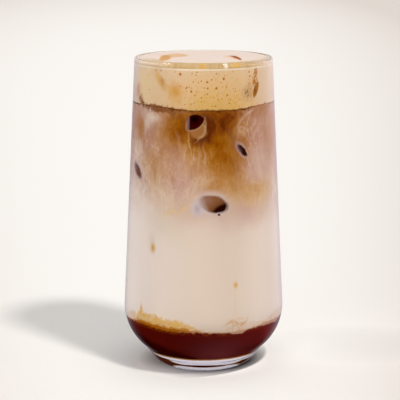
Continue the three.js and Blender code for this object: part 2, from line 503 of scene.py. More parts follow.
def sauce_side(coat, wall):
    """Dark red, with a painted highlight low in front, a painted reflection at the right edge, a painted
    shade below a slanting line at the left, and rusty where it meets the milk.
    """
    # Painted highlight: a lighter red low in front, where the glass mirrors the lit table.
    coat.over(wall.spot(14, 13, 24, 7), behind(98, 38, 41))
    # Painted shade: darkest below a slanting line at the left, where the glass mirrors the shadow on the
    # table.
    slope = 9.3 - 0.175 * wall.turn - wall.height
    painted_shade_low_left = ((slope + wall.noise(6) * 2) / 1.2).clamped() * ((4 - wall.turn) / 8).clamped()
    coat.over(painted_shade_low_left * 0.9, behind(50, 3, 2))
    # Painted reflection: a lighter red at the right edge.
    coat.over(wall.spot(70, 20, 26, 10) * 0.8, behind(112, 34, 36))

    below_top = wall.waves(SAUCE_LEVEL, SAUCE_WAVES) - wall.height
    left = wall.spot(-36, 25, 26, 60)
    patches = (wall.noise(1.6, 1, 3.0, 0, 4) * 4 + 0.3 + left * 0.6).clamped()
    rusty = (1 - below_top / 2.2).clamped() * patches
    coat.over(rusty * 0.85, coat.finish.blend(left, behind(128, 56, 22), behind(152, 76, 0)))
    tongue = 0.1 + wall.noise(2, 1, 3.0, 0, 15) * 2.4
    tongue = tongue + wall.spot(27, 25, 5, 60) * 1.3 + wall.spot(62, 25, 16, 60) * 1.2
    tongue = ((tongue + left * 0.5 - below_top) / 0.5 + 0.5).clamped()
    creamy = coat.finish.blend(left * 1.4, behind(196, 148, 122), behind(172, 98, 14))
    coat.over(tongue * 0.85, creamy)
    speck = (wall.noise(0.9, 1, 2.0, 0, 8) * 14 - 3.2).clamped()
    coat.over(speck * 0.35, behind(122, 52, 22))


def sauce_underside(coat, glow, wall):
    """Pale in the middle and in front, brown at both sides towards the back, and edged in gold: a painted
    pattern of the light in the thick clear base under it. A painted glow lights it as well."""
    under = ((UNDERSIDE_TOP - wall.height) / 0.4).clamped()
    across = wall.parts[0] / MM
    back = wall.parts[1] / MM
    right_edge = (across - 5).math("MAXIMUM", 0) * 2.2
    left_edge = (-4 - across).math("MAXIMUM", 0) * 2.6
    into_brown = back - (16.2 - right_edge - left_edge).math("MAXIMUM", across.clamped() * 9 - 10)
    band = (2.2 - (back + 8.5).math("ABSOLUTE")) * ((across.math("ABSOLUTE") - 5) / 4).clamped()
    brown = (into_brown / 0.8).clamped() + (band / 1.2).clamped() * 0.8
    gold = (1.6 - into_brown.math("ABSOLUTE")).clamped() * 0.7
    out = wall.radius + wall.noise(5, 1, 2.0, 0, 12) * 1.2
    gold = gold + (1.4 - (out - GOLD_RADIUS).math("ABSOLUTE") / 0.9).clamped()
    pale = ((UNDERSIDE_RADIUS - out) / 0.5).clamped()
    # Painted light from the thick clear base: pale, with brown and gold rings.
    coat.over(under * pale, paint(220, 215, 222))
    coat.over(under * brown * pale, paint(84, 32, 8))
    coat.over(under * gold, paint(170, 112, 52))
    # A painted glow, brightest where the underside is pale.
    lit = glow.finish.blend((1 - brown).clamped(), paint(62, 26, 12), paint(188, 182, 192))
    glow.over(under * pale, lit)
    glow.over(under * gold, paint(128, 100, 60))


def sauce_finish():
    finish = material("sauce")
    wall = WallPlace(finish)
    coat = Coat(finish, behind(72, 9, 3))
    glow = Coat(finish, BLACK)
    sauce_side(coat, wall)
    sauce_underside(coat, glow, wall)
    # The underside's painted glow.
    lit = {"Emission Color": glow.colour, "Emission Strength": 1}
    return finish.shaded({"Base Color": coat.colour, "Roughness": 0.35, "Specular IOR Level": 0, **lit})


sauce_top = SAUCE_LEVEL + waves(SAUCE_WAVES)
sauce = turned(
    "sauce_layer",
    [*cavity_floor(POKE), *up_the_wall(FILLET_TOP, sauce_top, 36), *face(SAUCE_LEVEL, SAUCE_WAVES)[::-1]],
    SEGMENTS,
    sauce_finish(),
)
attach(sauce, "root")
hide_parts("sauce")

# The milk and the coffee
# Cold milk with coffee poured over it. The coffee hangs down into the milk and the two run into each other
# in clouds and wisps, so one finish is worked out for both from the place on the wall. Where a cube of ice
# lies against the glass there is a dark window, a painted shade: through the clear ice one looks into the
# drink's middle, where no light gets.
COFFEE_LEVEL = 84
COFFEE_LOBES = [(7, 2, 2.6), (4, 3, 0.5), (2.5, 7, 0)]
FOAM_BASE = 129
FOAM_WAVES = [(0.6, 3, -2.0), (0.15, 8, 0.6)]

# The colours from plain milk to coffee, where it is amber and where it is mauve: strength, display colour.
AMBER_STOPS = [
    (0.0, (219, 198, 177)),
    (0.1, (211, 185, 158)),
    (0.21, (203, 167, 129)),
    (0.39, (186, 136, 88)),
    (0.48, (175, 121, 66)),
    (0.58, (164, 106, 46)),
    (0.67, (152, 91, 24)),
    (0.76, (138, 76, 6)),
    (0.85, (124, 61, 0)),
    (1.0, (86, 34, 2)),
]
MAUVE_STOPS = [
    (0.0, (219, 198, 179)),
    (0.1, (212, 184, 168)),
    (0.21, (200, 167, 152)),
    (0.3, (191, 152, 138)),
    (0.39, (180, 136, 118)),
    (0.48, (170, 121, 94)),
    (0.58, (158, 106, 72)),
    (0.67, (142, 91, 55)),
    (1.0, (86, 40, 16)),
]
# How strong the coffee is: share, degrees round, height, half width in degrees, half height in mm, tilt.
COFFEE_CLOUDS = [
    (0.48, 8, 125, 24, 17, 0),
    (0.16, -3, 118, 7, 9, 0),
    (-0.12, 11, 117, 6, 5, 0),
    (0.2, 22, 123.5, 8, 5, 0),
    (-0.06, 25, 116.5, 8, 4, 0),
    (0.12, -1, 117, 6, 6, 0),
    (0.18, -20, 116, 6, 5, 0),
    (0.12, 31, 109, 5, 4, 0),
    (0.06, -9, 106, 6, 12, 0),
    (0.07, 1, 120, 4, 4, 0),
    (-0.1, 53, 103, 9, 14, 0),
    (0.06, 6, 95, 14, 7, 0),
    (0.28, -24, 121, 14, 10, 0),
    (0.3, 15, 103, 12, 14, 0),
    (0.14, 27, 98, 7, 12, 0),
    (0.1, 3, 88, 12, 7, 0),
    (0.12, 36, 80, 16, 7, 0),
    (-0.08, -60, 114, 6, 8, 0),
    (0.22, -63, 119, 6, 5, 0),
    (0.17, 40, 90, 15, 5, 0),
    (-0.2, -46, 124.5, 8, 3.2, 10),
    (0.1, -40, 101, 20, 8, 0),
    (0.09, -8, 82, 30, 6, 0),
    (0.1, 52, 126, 16, 4, 0),
    (0.35, 118, 120, 26, 14, 0),
    (0.25, 160, 104, 16, 18, 0),
    (0.3, -140, 118, 22, 14, 0),
    (0.2, -105, 100, 14, 12, 0),
    (0.22, 96, 84, 13, 13, 0),
    (0.16, 136, 78, 12, 9, 0),
    (0.22, -168, 82, 15, 12, 0),
    (0.16, -98, 80, 12, 10, 0),
]
# Where it is amber and not mauve, in the same form.
AMBER_CLOUDS = [
    (1.0, 9, 115, 25, 24, 0),
    (0.8, -25, 120, 12, 9, 0),
    (0.4, -64, 118, 7, 7, 0),
    (0.4, -9, 106, 7, 10, 0),
    (0.9, 42, 89, 22, 6, 0),
    (0.7, -42, 101, 17, 11, 0),
    (0.5, -38, 87, 24, 7, 0),
    (0.5, 52, 89, 14, 8, 0),
    (0.6, 14, 96, 14, 14, 0),
    (0.9, 120, 114, 24, 20, 0),
    (0.7, -142, 116, 20, 18, 0),
    (0.5, 178, 96, 18, 10, 0),
]
# Wisps and washes that stand out, in the same form, with a display colour at the end.
WISPS = [
    (0.95, -45.5, 123.8, 7, 1.8, 4, (218, 196, 172)),
    (0.8, -51, 121.2, 3.4, 3, -30, (212, 188, 166)),
    (0.6, -56.5, 114.5, 1.8, 5, 8, (172, 116, 60)),
    (0.45, -48, 106, 9, 1.6, -42, (186, 138, 94)),
    (0.45, -35, 98.5, 6, 1.2, -50, (180, 132, 90)),
    (0.6, -25.8, 98, 0.7, 3.6, 32, (172, 122, 74)),
    (0.4, -30, 111, 8, 1.4, -35, (160, 108, 72)),
    (0.4, -19, 112, 1.6, 6, 20, (196, 150, 112)),
    (0.5, -53.5, 88, 1.2, 8, 2, (216, 203, 198)),
    (0.7, -11.4, 112.5, 0.7, 6, 4, (200, 158, 98)),
    (0.6, -8.7, 107, 0.7, 3.4, -17, (208, 172, 138)),
    (0.4, -4, 104, 1.2, 7, -4, (202, 164, 132)),
    (0.4, 1.5, 106, 0.9, 6, 6, (200, 160, 126)),
    (0.8, 0.9, 122, 0.6, 2.8, 0, (198, 148, 92)),
    (0.7, -3, 116.2, 4.5, 0.5, 37, (194, 142, 88)),
    (0.6, 40, 127, 5.5, 0.7, 22, (206, 176, 158)),
    (0.55, 31.5, 123.5, 3.5, 0.6, 62, (202, 168, 138)),
    (0.5, 29, 119.5, 0.8, 3.5, -8, (200, 164, 132)),
    (0.5, 37.5, 122.5, 0.8, 3.4, -24, (206, 174, 154)),
    (0.4, 44, 121, 5, 1.0, 60, (208, 180, 166)),
    (0.55, 39.5, 100, 0.8, 8, 10, (212, 180, 156)),
    (0.4, 47.8, 102.5, 0.9, 7, 5, (214, 186, 168)),
    (0.5, 31, 100, 1.0, 5, 16, (176, 122, 66)),
    (0.35, 22, 112, 8, 1.0, 20, (150, 92, 36)),
    (0.35, 12, 100, 1.2, 6, -14, (160, 104, 50)),
    (0.35, 3, 96, 6, 0.9, 18, (206, 172, 140)),
    (0.45, 60, 92, 4, 1.2, 20, (198, 156, 118)),
    (0.85, 70, 116, 13, 14, 0, (178, 126, 92)),
]
# Coffee that has sunk low into the milk, and threads of sauce above its face.
SUNK_COFFEE = [
    (0.7, -28, 80.3, 4.5, 0.8, 25, (216, 180, 118)),
    (0.7, -22.5, 81.2, 4, 0.8, -30, (216, 180, 118)),
    (0.7, -15, 83, 5, 0.8, 38, (216, 180, 118)),
    (0.6, -42.5, 66.5, 3.2, 3.2, 0, (206, 190, 170)),
]
SAUCE_THREADS = [
    (0.8, 19, 29, 4, 0.5, 25, (200, 146, 76)),
    (0.8, 25, 28.6, 3, 0.5, -35, (200, 146, 76)),
    (0.8, 30, 28, 4, 0.45, 50, (200, 146, 76)),
]
# The plainer six of the eight windows, each a painted shade: degrees round, height, half width in degrees,
# half height in mm, tilt and darkness.
WINDOWS = [
    (31.6, 109.5, 6.2, 1.35, -51, 0.95),
    (-64.3, 97.9, 7.4, 2.2, -39, 0.5),
    (112, 118, 7, 2.4, 24, 1.0),
    (172, 101, 6.5, 1.8, -34, 0.9),
    (-130, 90, 9, 3, 14, 0.75),
    (-116, 119, 5, 2, -38, 1.0),
]


def dab(coat, wall, listed):
    """Lay soft dabs of colour over the coat, one for each in the list."""
    for share, *oval, shown in listed:
        coat.over(wall.spot(*oval) * share, behind(*shown))


def close_by(distance, reach, least, hard):
    """1 close by, going to 0 at a reach that is never under the least. The harder, the later it falls."""
    return ((1 - distance / reach.math("MAXIMUM", least)).clamped() * hard).clamped()


def swirls(finish, wall, loose):
    """The strength of the coffee from place to place, and the colour that it gives the milk."""
    curly = loose.bent(4.5, 1.4, 9, 10, 7)
    clouds = curly.noise(8, 1.4, 4.0, 0, 3)
    threads = curly.noise(1.7, 4.0, 3.0, 0, 9)
    hairs = loose.noise(0.8, 7.0, 3.0, 0.6, 21)
    up = ((loose.height - 71) / 42).clamped()

    strength = up * 0.39
    for share, *oval in COFFEE_CLOUDS:
        strength = strength + share * loose.spot(*oval)
    rough = ((loose.height - 76) / 16).clamped()
    strength = strength + (clouds * 0.48 + threads * 0.17 + hairs * 0.22) * rough

    veins = (1 - curly.noise(7, 2.0, 1.0, 0, 5).math("ABSOLUTE") * 26).clamped()
    pale = wall.spot(37, 119, 13, 11) + wall.spot(-6, 106, 16, 12) * 0.6 + wall.spot(-50, 112, 16, 16) * 0.5
    at_the_back = (wall.turn.math("ABSOLUTE") - 80).clamped()
    pale = pale + (wall.noise(22, 1, 1.0, 0, 6) * 4).clamped() * at_the_back
    strength = (strength - veins * pale * rough * 0.2).clamped()

    mauve = 1.0
    for share, *oval in AMBER_CLOUDS:
        mauve = mauve - share * loose.spot(*oval)
    mauve = (mauve + clouds * 1.4).clamped()

    colours = []
    for listed in (AMBER_STOPS, MAUVE_STOPS):
        stops = [(place, behind(*shown)) for place, shown in listed]
        colours.append(finish.node("ValToRGB", {"stops": stops}, {0: strength}).outputs[0])
    return strength, finish.blend(mauve, *colours)


def line_under_foam(coat, wall):
    """A ragged dark line, thickest at the left, with brown fuzz below it and a clump that hangs from it."""
    below_foam = wall.waves(FOAM_BASE, FOAM_WAVES) - wall.height
    frayed = wall.noise(1.8, 0.7, 4.0, 0.5, 11)
    left = wall.spot(-38, 128, 18, 60)
    right = ((wall.turn - 42) / 6).clamped()
    fuzz = close_by(below_foam, 1.2 + frayed * 8 + left * 4, 0.3, 2)
    coat.over(fuzz * left * 0.85, behind(178, 126, 86))
    clump = wall.spot(-25.5, 128, 2.4, 50)
    scum = close_by(below_foam, 0.7 + frayed * 5.5 + left * 2.9 + clump * 2.6, 0.3, 2.4)
    coat.over(scum * (0.5 + left * 0.3 - right * 0.3), behind(104, 55, 16))
    tight = close_by(below_foam, 0.55 + frayed * 4 + clump, 0.12, 2.4)
    dark_line = coat.finish.blend(right, behind(84, 44, 10), behind(146, 92, 54))
    coat.over(tight * 0.95, dark_line)


def plain_milk(coat, wall, loose, strength):
    """The plain milk is painted paler at its sides, a painted sheen, and palest at the far left, painted
    light where the lamp does not reach. A few drops of coffee have sunk into it.
    """
    # Painted sheen: the milk is paler at its sides.
    painted_sheen_sides = (1 - strength * 8).clamped() * (1 - wall.spot(4, 60, 48, 500))
    coat.over(painted_sheen_sides * 0.9, behind(231, 213, 205))
    # Painted light: palest at the far left, where the lamp does not reach.
    painted_light_far_left = (1 - strength * 3).clamped() * wall.spot(-80, 60, 34, 500)
    coat.over(painted_light_far_left, behind(248, 230, 220))
    coat.over(loose.spot(-27, 74, 15, 6) * 0.6, behind(206, 188, 166))
    dab(coat, wall, SUNK_COFFEE)
    coat.over(wall.spot(-41.5, 62.8, 2.2, 2.2), behind(190, 140, 62))
    trail = wall.spot(23.8, 40, 0.7, 9) * (wall.noise(1.5, 1.5, 3, 0, 14) * 5 + 0.3).clamped()
    coat.over(trail * 0.9, behind(224, 184, 106))
    coat.over(wall.spot(24.3, 46.4, 1.4, 1.3), behind(204, 146, 36))


def sauce_fringe(coat, wall, brushed):
    """The sauce bleeds up into the milk in a frayed fringe, amber at the left and pink elsewhere."""
    above_sauce = wall.height - wall.waves(SAUCE_LEVEL, SAUCE_WAVES)
    amber_side = wall.oval(-33, 27, 27, 60, 0, 0.6)
    fringe = 1.2 + amber_side * 4.2 - ((wall.turn + 20) / 8).clamped() * amber_side * 1.6
    for turn, wide, taller in [(26, 7, 4.2), (40, 8, 1.5), (72, 16, 4), (-52.5, 1.2, 5), (-68, 7, 3)]:
        fringe = fringe + wall.spot(turn, 27, wide, 60) * taller
    reach = fringe + wall.noise(3.6, 1.0, 4.0, 0.4, 17) * 5 + wall.noise(1.2, 1.4, 2.0, 0.3, 18) * 2.5
    bleed = ((1.05 - above_sauce / reach.math("MAXIMUM", 0.4)) * 3.2).clamped()
    patchy = (wall.noise(2.0, 1.3, 3.0, 0.4, 23) * 3 + 0.65).clamped()
    tint = coat.finish.blend(amber_side * 1.3, behind(213, 174, 146), behind(218, 164, 84))
    coat.over(bleed * (0.25 + amber_side * 0.4 + patchy * 0.35), tint)
    low = 0.5 + amber_side * 1.3 + wall.noise(2.4, 1, 3, 0, 19) * 5
    gold = close_by(above_sauce, low, 0.35, 2.4)
    coat.over(gold * (0.4 + amber_side * 0.45), behind(184, 114, 28))
    rust = close_by(above_sauce, low * 0.4, 0.3, 2.4)
    coat.over(rust * (0.3 + amber_side * 0.5), behind(146, 68, 0))
    curl = (1 - wall.bent(3, 1, 5, 5, 31).noise(3, 1, 1.0, 0, 5).math("ABSOLUTE") * 14).clamped()
    coat.over(curl * wall.spot(26, 27, 7, 3.4) * 0.85, behind(196, 140, 70))
    dab(coat, brushed, SAUCE_THREADS)


def plainer_windows(coat, neat, shaggy):
    """Each has a pale halo and a painted dark heart, a painted shade for the drink's middle seen through the
    ice, and is clouded over at its left.
    """
    for turn, height, wide, high, tilt, dark in WINDOWS:
        light = 1 - dark
        touched = neat if abs(turn) < 80 else shaggy
        halo = touched.oval(turn, height + 0.2, wide * 1.25, high * 1.6, tilt, 0.6)
        coat.over(halo * (0.45 + light * 0.8), behind(202, 182, 180))
        # Painted shade: each window's dark core and heart, the drink's middle seen through the ice.
        painted_dark_core = touched.oval(turn, height, wide, high, tilt, 0.25 + light)
        coat.over(painted_dark_core, behind(66 + 90 * light, 30 + 92 * light, 28 + 78 * light))
        painted_dark_heart = touched.oval(turn + wide * 0.2, height - high * 0.2, wide * 0.85, high * 0.8, tilt, 0.5)
        coat.over(painted_dark_heart, behind(34 + 130 * light, 2 + 110 * light, 84 * light))
        cloudy = touched.spot(turn - wide * 0.5, height + 0.5, wide * 0.4, high * 0.7, tilt)
        coat.over(cloudy * 0.6, behind(132, 104, 110))


def window_under_foam(coat, wall):
    """A dark leaf, a painted shade, with a straight left side. A flap of tan drink lies along its foot."""
    leaf = wall.oval(-11, 126.8, 12.2, 7.3, 0, 0.08) * wall.oval(-6.3, 121.3, 9.2, 5.5, 0, 0.1)
    leaf = leaf * (wall.turn + 13.6).clamped()
    flap = wall.oval(-4.4, 119.4, 6.6, 3.5, 48, 0.3)
    coat.over(flap * 0.75, behind(164, 108, 60))
    edge = flap * (1 - wall.oval(-5, 119.4, 6.2, 3.1, 48, 0.3)) * ((wall.turn + 6) / 3).clamped()
    coat.over(edge * 0.8, behind(198, 148, 96))
    lit = wall.oval(-11, 126.8, 12.9, 7.8, 0, 0.08) * wall.oval(-5.3, 121.3, 9.2, 5.5, 0, 0.2)
    coat.over(lit * ((127 - wall.height) / 3).clamped() * 0.7, behind(186, 138, 96))
    # Painted shade: the leaf is near black, and blackest in its middle.
    coat.over(leaf, behind(44, 2, 0))
    coat.over(leaf * wall.spot(-7, 124.6, 3.2, 1.8, 35), behind(0, 0, 0))
    grey = ((-10.8 - wall.turn) / 1.4).clamped()
    coat.over(leaf * grey * 0.8, behind(120, 96, 100))


def lowest_window(coat, wall, neat):
    """Clouded over at its left, with a painted shade for the dark drink seen through the ice, darkest along
    its lower right edge.
    """
    coat.over(neat.oval(7.4, 85.6, 13.2, 5.4, -14, 0.45) * 0.75, behind(207, 188, 182))
    coat.over(neat.oval(-4, 83.4, 6, 4, 0, 0.7) * 0.75, behind(199, 186, 190))
    coat.over(neat.spot(-4.8, 83, 2.6, 2.2), behind(176, 156, 162))
    clear = ((wall.turn * 0.8 + wall.height * 0.5 - 38.2) / 7).clamped()
    clear = clear * neat.oval(7.4, 85.2, 11.6, 4, -14, 0.25)
    # Painted shade: through the clear ice one sees into the dark drink, darkest along the lower right edge.
    depth = Coat(coat.finish, behind(122, 77, 48))
    depth.over(wall.spot(2.5, 87.4, 4.5, 2, -20) * 0.5, behind(148, 108, 96))
    depth.over(wall.spot(12.8, 82.8, 8, 2.5, 28), behind(64, 22, 4))
    depth.over(wall.oval(13.4, 82.8, 7, 1.7, 28, 0.7), behind(26, 2, 0))
    coat.over(clear, depth.colour)
    coat.over(wall.oval(11.7, 80.15, 1.1, 0.5, 0, 0.4), behind(62, 16, 2))


def drink_finish():
    finish = material("milk_and_coffee")
    wall = WallPlace(finish)
    loose = wall.bent(12, 1.2, 10, 9, 2)
    strength, colour = swirls(finish, wall, loose)
    coat = Coat(finish, colour)
    brushed = wall.bent(3.5, 1.3, 4, 3, 4)
    dab(coat, brushed, WISPS)
    line_under_foam(coat, wall)
    plain_milk(coat, wall, loose, strength)
    sauce_fringe(coat, wall, brushed)
    neat = wall.bent(2.2, 1, 1.2, 1.2, 27)
    shaggy = wall.bent(3.5, 1, 4, 3.5, 29)
    plainer_windows(coat, neat, shaggy)
    window_under_foam(coat, wall)
    lowest_window(coat, wall, neat)
    return finish.shaded({"Base Color": coat.colour, "Roughness": 0.5, "Specular IOR Level": 0})


swirled = drink_finish()
milk_top = COFFEE_LEVEL + waves(COFFEE_LOBES)
coffee_top = FOAM_BASE + waves(FOAM_WAVES)
milk = turned(
    "milk_layer",
    [
        *face(SAUCE_LEVEL, SAUCE_WAVES),
        *up_the_wall(sauce_top, milk_top, 120),
        *face(COFFEE_LEVEL, COFFEE_LOBES)[::-1],
    ],
    SEGMENTS,
    swirled,
)
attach(milk, "root")
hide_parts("milk")
coffee = turned(
    "coffee_layer",
    [
        *face(COFFEE_LEVEL, COFFEE_LOBES),
        *up_the_wall(milk_top, coffee_top, 90),
        *face(FOAM_BASE, FOAM_WAVES)[::-1],
    ],
    SEGMENTS,
    swirled,
)
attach(coffee, "root")
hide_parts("coffee")

# The foam
# Cold foam, spooned on until it stands just over the rim. It turns over a round shoulder inside the lip,
# and ice that floats under it pushes it up in crests, whose steep sides show the darker foam inside.
FOAM_EDGE = 147.4
FOAM_SHOULDER_RISE = 2.5
FOAM_SHOULDER_WIDTH = 2.4
FOAM_DOME = 0.8
FOAM_TOP_RADIUS = 29.6  # inside it the finish is the top's, outside it the side's
# The pale line at the foam's edge is a painted highlight.
PALE_LINE = (146.65, 147.42)  # the heights between which the foam's edge shows as a pale line
# Crests: x, y, turn in degrees, height, length, how far the steep side and the soft side reach.
ICE_CRESTS = [
    (-18.7, -13.5, 73, 1.7, 8, 1.5, 7),
    (-12.5, -4.5, 20, 1.3, 5, 1.5, 5),
    (15.2, -11.5, 110, 0.9, 7, 1.2, 5),
]
# The darker foam on the crests' steep sides: which crest, how far along and across it the mark's middle lies
# and half its width in mm, how strong it is, display colour.
CREST_MARKS = [
    (0, -1.5, -1.4, 2.4, 1.0, (226, 174, 116)),
    (1, 0, -1.7, 2.8, 0.9, (229, 188, 146)),
    (2, 1, 2.2, 3.2, 0.5, (236, 190, 146)),
    (2, -0.5, 0.8, 1.7, 1.5, (176, 100, 44)),
]
# Paler washes at the left, and smears of darker foam: share, degrees round, height, half width in degrees,
# half height in mm, tilt, display colour.
FOAM_LEFT = [
    (0.7, -55, 138, 12, 14, 0, (240, 206, 157)),
    (0.9, -78, 138, 10, 60, 0, (220, 198, 188)),
]
FOAM_SMEARS = [
    (0.85, -40.5, 143, 6.5, 1.9, -47, (218, 164, 92)),
    (0.95, -35.8, 140.6, 4, 1.5, -50, (186, 126, 62)),
    (0.5, -31, 138.5, 5, 1.6, -20, (214, 162, 98)),
    (0.95, -23.6, 137.1, 6, 3.6, -10, (206, 141, 60)),
    (0.4, -25, 133, 4.5, 1.8, 10, (212, 166, 92)),
    (0.5, -41, 145.9, 8, 1.3, 5, (213, 168, 132)),
    (0.4, -54, 141, 4, 4.5, 0, (224, 192, 138)),
    (0.85, -68, 135.6, 4.0, 2.6, -38, (178, 128, 98)),
    (0.95, -62.6, 132.2, 3.0, 1.6, -60, (134, 84, 52)),
    (1.0, -59.2, 129.9, 3.6, 1.1, -24, (104, 60, 32)),
    (0.5, 41.5, 138.5, 3.5, 5, 0, (202, 146, 84)),
    (0.6, 170, 140, 8, 2.5, 30, (206, 150, 84)),
    (0.6, -95, 139, 6, 2, -30, (206, 150, 84)),
]
# Painted glints and reflections just inside the lip: degrees round, height, half sizes, display colour.
PAINTED_LIP_GLINTS = [
    (-1, 148.4, 1.8, 1.5, (224, 170, 66)),
    (28, 148.7, 2.4, 1.2, (224, 176, 84)),
    (18.7, 148.7, 1.4, 1.2, (250, 238, 218)),
]


def crest_height(x, y):
    lifted = 0
    for cx, cy, turn, height, length, front, behind_it in ICE_CRESTS:
        cos, sin = math.cos(math.radians(turn)), math.sin(math.radians(turn))
        along = (x - cx) * cos + (y - cy) * sin
        across = (y - cy) * cos - (x - cx) * sin
        reach = np.where(across < 0, front, behind_it)
        lifted = lifted + height * np.exp(-((along / length) ** 2) - (across / reach) ** 2)
    return lifted


def foam_top_rings():
    edge = float(cavity_radius(FOAM_EDGE)) + POKE
    rings = []
    for share in [*np.linspace(0, 0.92, 80), *np.linspace(0.925, 0.999, 24)]:
        radius = share * edge
        inward = min(1, (edge - radius) / FOAM_SHOULDER_WIDTH)
        shoulder = FOAM_SHOULDER_RISE * math.sqrt(1 - (1 - inward) ** 2)
        lifted = crest_height(radius * np.sin(around), -radius * np.cos(around))
        rings.append((radius, FOAM_EDGE + shoulder + inward * (FOAM_DOME * (1 - share**2) + lifted)))
    return rings[::-1]


def foam_side(finish, wall):
    """Pale tan, partly the coffee's tint and partly painted shade, yellower in front, with gold bubbles low
    down and smears where coffee has run.
    """
    yellow = wall.spot(13, 138, 36, 200) + wall.spot(150, 138, 40, 200) * 0.8
    yellow = yellow + wall.spot(-120, 138, 30, 200) * 0.6
    high = ((wall.height - 130) / 16).clamped()
    plain = finish.blend(high, behind(220, 182, 140), behind(226, 192, 155))
    rich = finish.blend(high, behind(216, 167, 92), behind(224, 184, 138))
    mottle = wall.noise(3.5, 2.2, 4.0, 0.4, 1)
    coat = Coat(finish, finish.blend(yellow + mottle * 1.3, plain, rich))
    coat.over(wall.spot(66, 138, 18, 60), behind(222, 192, 163))
    dab(coat, wall, FOAM_LEFT)
    gold = (wall.noise(1.1, 1.5, 3.0, 0, 2) * 8 - 0.4).clamped()
    low_down = wall.spot(14, 133, 20, 4.5) + wall.spot(-28, 132, 8, 3) * 0.5
    low_down = low_down + wall.spot(140, 134, 30, 6) * 0.6
    coat.over(gold * (low_down + yellow * 0.25), behind(212, 154, 50))

    ragged = wall.bent(2.4, 1, 3, 4, 5)
    dab(coat, ragged, FOAM_SMEARS)
    pitted = (wall.noise(1.1, 1, 2.0, 0, 33) * 9 + 0.9).clamped()
    upper_run = ragged.oval(46.8, 142, 5.4, 1.9, 80, 0.4) + ragged.oval(48.2, 145.4, 2.8, 0.7, 85, 0.4)
    upper_run = upper_run * (pitted * 0.7 + 0.3) + ragged.oval(124, 138, 7, 2.2, 76, 0.5)
    coat.over(upper_run, behind(166, 98, 28))
    lower_run = wall.oval(47.8, 137, 6.6, 1.5, 63, 0.3) * (wall.turn - 43.4).clamped()
    coat.over(lower_run * 0.95, behind(146, 88, 22))
    coat.over(lower_run * wall.spot(46.5, 136.4, 1.8, 2), behind(118, 62, 8))
    froth = (wall.noise(0.75, 1, 1.0, 0, 35) * 14 - 0.6).clamped()
    frothy = wall.spot(38.5, 135.8, 4.8, 2.8) * (froth + 0.35)
    coat.over(frothy.clamped() * 0.9, behind(132, 84, 50))
    return coat


def foam_foot(coat, wall):
    """The foam's foot is ragged, with coffee in its lowest bubbles."""
    above_coffee = wall.height - wall.waves(FOAM_BASE, FOAM_WAVES)
    soaked = 0.2 + wall.noise(1.5, 0.8, 4.0, 0.5, 13) * 5 + wall.spot(-40, 129, 16, 60) * 0.4
    coat.over(close_by(above_coffee, soaked, 0.08, 2) * 0.85, behind(124, 72, 28))


def foam_shoulder(coat, wall, cream):
    """Where the foam leaves the wall there is a pale line, a painted highlight, and the shoulder above it is
    tan in front, partly the coffee's tint and partly painted shade under the lip.
    """
    # Painted highlight: the pale line at the foam's edge.
    line = ((wall.height - PALE_LINE[0]) / 0.15).clamped() * (wall.noise(5, 1, 2, 0, 21) * 4 + 0.8).clamped()
    coat.over(line * 0.85, behind(246, 228, 204))
    above_line = ((wall.height - PALE_LINE[1]) / 0.1).clamped()
    # The shoulder above the line is tan in front: partly the coffee's tint, partly painted shade under the
    # lip.
    streaky = wall.noise(1.8, 8.0, 3.0, 0, 7)
    streaked = coat.finish.blend(streaky * 2.4 + 0.5, paint(196, 160, 104), paint(216, 184, 130))
    tan = Coat(coat.finish, streaked)
    tan.over((streaky * 8 - 1.6).clamped() * 0.8, paint(218, 170, 78))
    # Painted glints and reflections inside the lip.
    for *oval, shown in PAINTED_LIP_GLINTS:
        tan.over(wall.spot(*oval) * 1.2, paint(*shown))
    front = wall.spot(6, 148, 58, 500) + wall.spot(165, 148, 40, 500) * 0.8
    coat.over(above_line, coat.finish.blend(front * 1.3, cream, tan.colour))


def foam_crests(finish, wall, cream):
    """The top is cream, but for the steep sides of its crests."""
    top = Coat(finish, cream)
    for number, ahead, aside, width, share, shown in CREST_MARKS:
        x, y, turn, _, length, _, _ = ICE_CRESTS[number]
        place = {"Location": (x * MM, y * MM, 0), "Rotation": (0, 0, math.radians(turn))}
        sockets = {"Vector": wall.place, **place, "Scale": (MM, MM, MM)}
        at = finish.node("Mapping", {"vector_type": "TEXTURE"}, sockets)
        along, across, _ = finish.parts(at.outputs[0])
        off = (across - aside + wall.noise(2.5, 1, 3, 0, 4) * 2.5).math("ABSOLUTE") / width
        end = (along - ahead + wall.noise(4, 1, 2, 0, 6) * 5) / length
        cliff = ((1 - off - end * end * 0.5) * 2.2).clamped()
        top.over(cliff * share, paint(*shown))
    return top.colour


def foam_finish():
    finish = material("foam")
    wall = WallPlace(finish)
    side = foam_side(finish, wall)
    foam_foot(side, wall)
    creamy = wall.noise(8, 1, 3.0, 0.5, 3) * 2 + 0.5
    cream = finish.blend(creamy, paint(241, 220, 212), paint(245, 223, 203))
    foam_shoulder(side, wall, cream)
    # The side is painted tan and the top cream: partly the coffee's tint in the side, partly painted shade
    # on the side, which gets less light than the top.
    inner = (FOAM_TOP_RADIUS - wall.radius) / 0.8
    colour = finish.blend(inner, side.colour, foam_crests(finish, wall, cream))

    fine = finish.wire("TexNoise", None, {"Vector": wall.place, "Scale": 2500.0, "Detail": 2.0})
    bump = finish.node("Bump", None, {"Strength": 0.1, "Distance": 0.0002, "Height": fine}).outputs[0]
    sockets = {"Base Color": colour, "Roughness": 0.6, "Specular IOR Level": 0.1, "Normal": bump}
    return finish.shaded(sockets)


foam = turned(
    "foam_layer",
    [
        *face(FOAM_BASE, FOAM_WAVES),
        *up_the_wall(coffee_top, np.full(SEGMENTS, FOAM_EDGE), 60),
        *foam_top_rings(),
    ],
    SEGMENTS,
    foam_finish(),
)
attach(foam, "root")
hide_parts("foam")

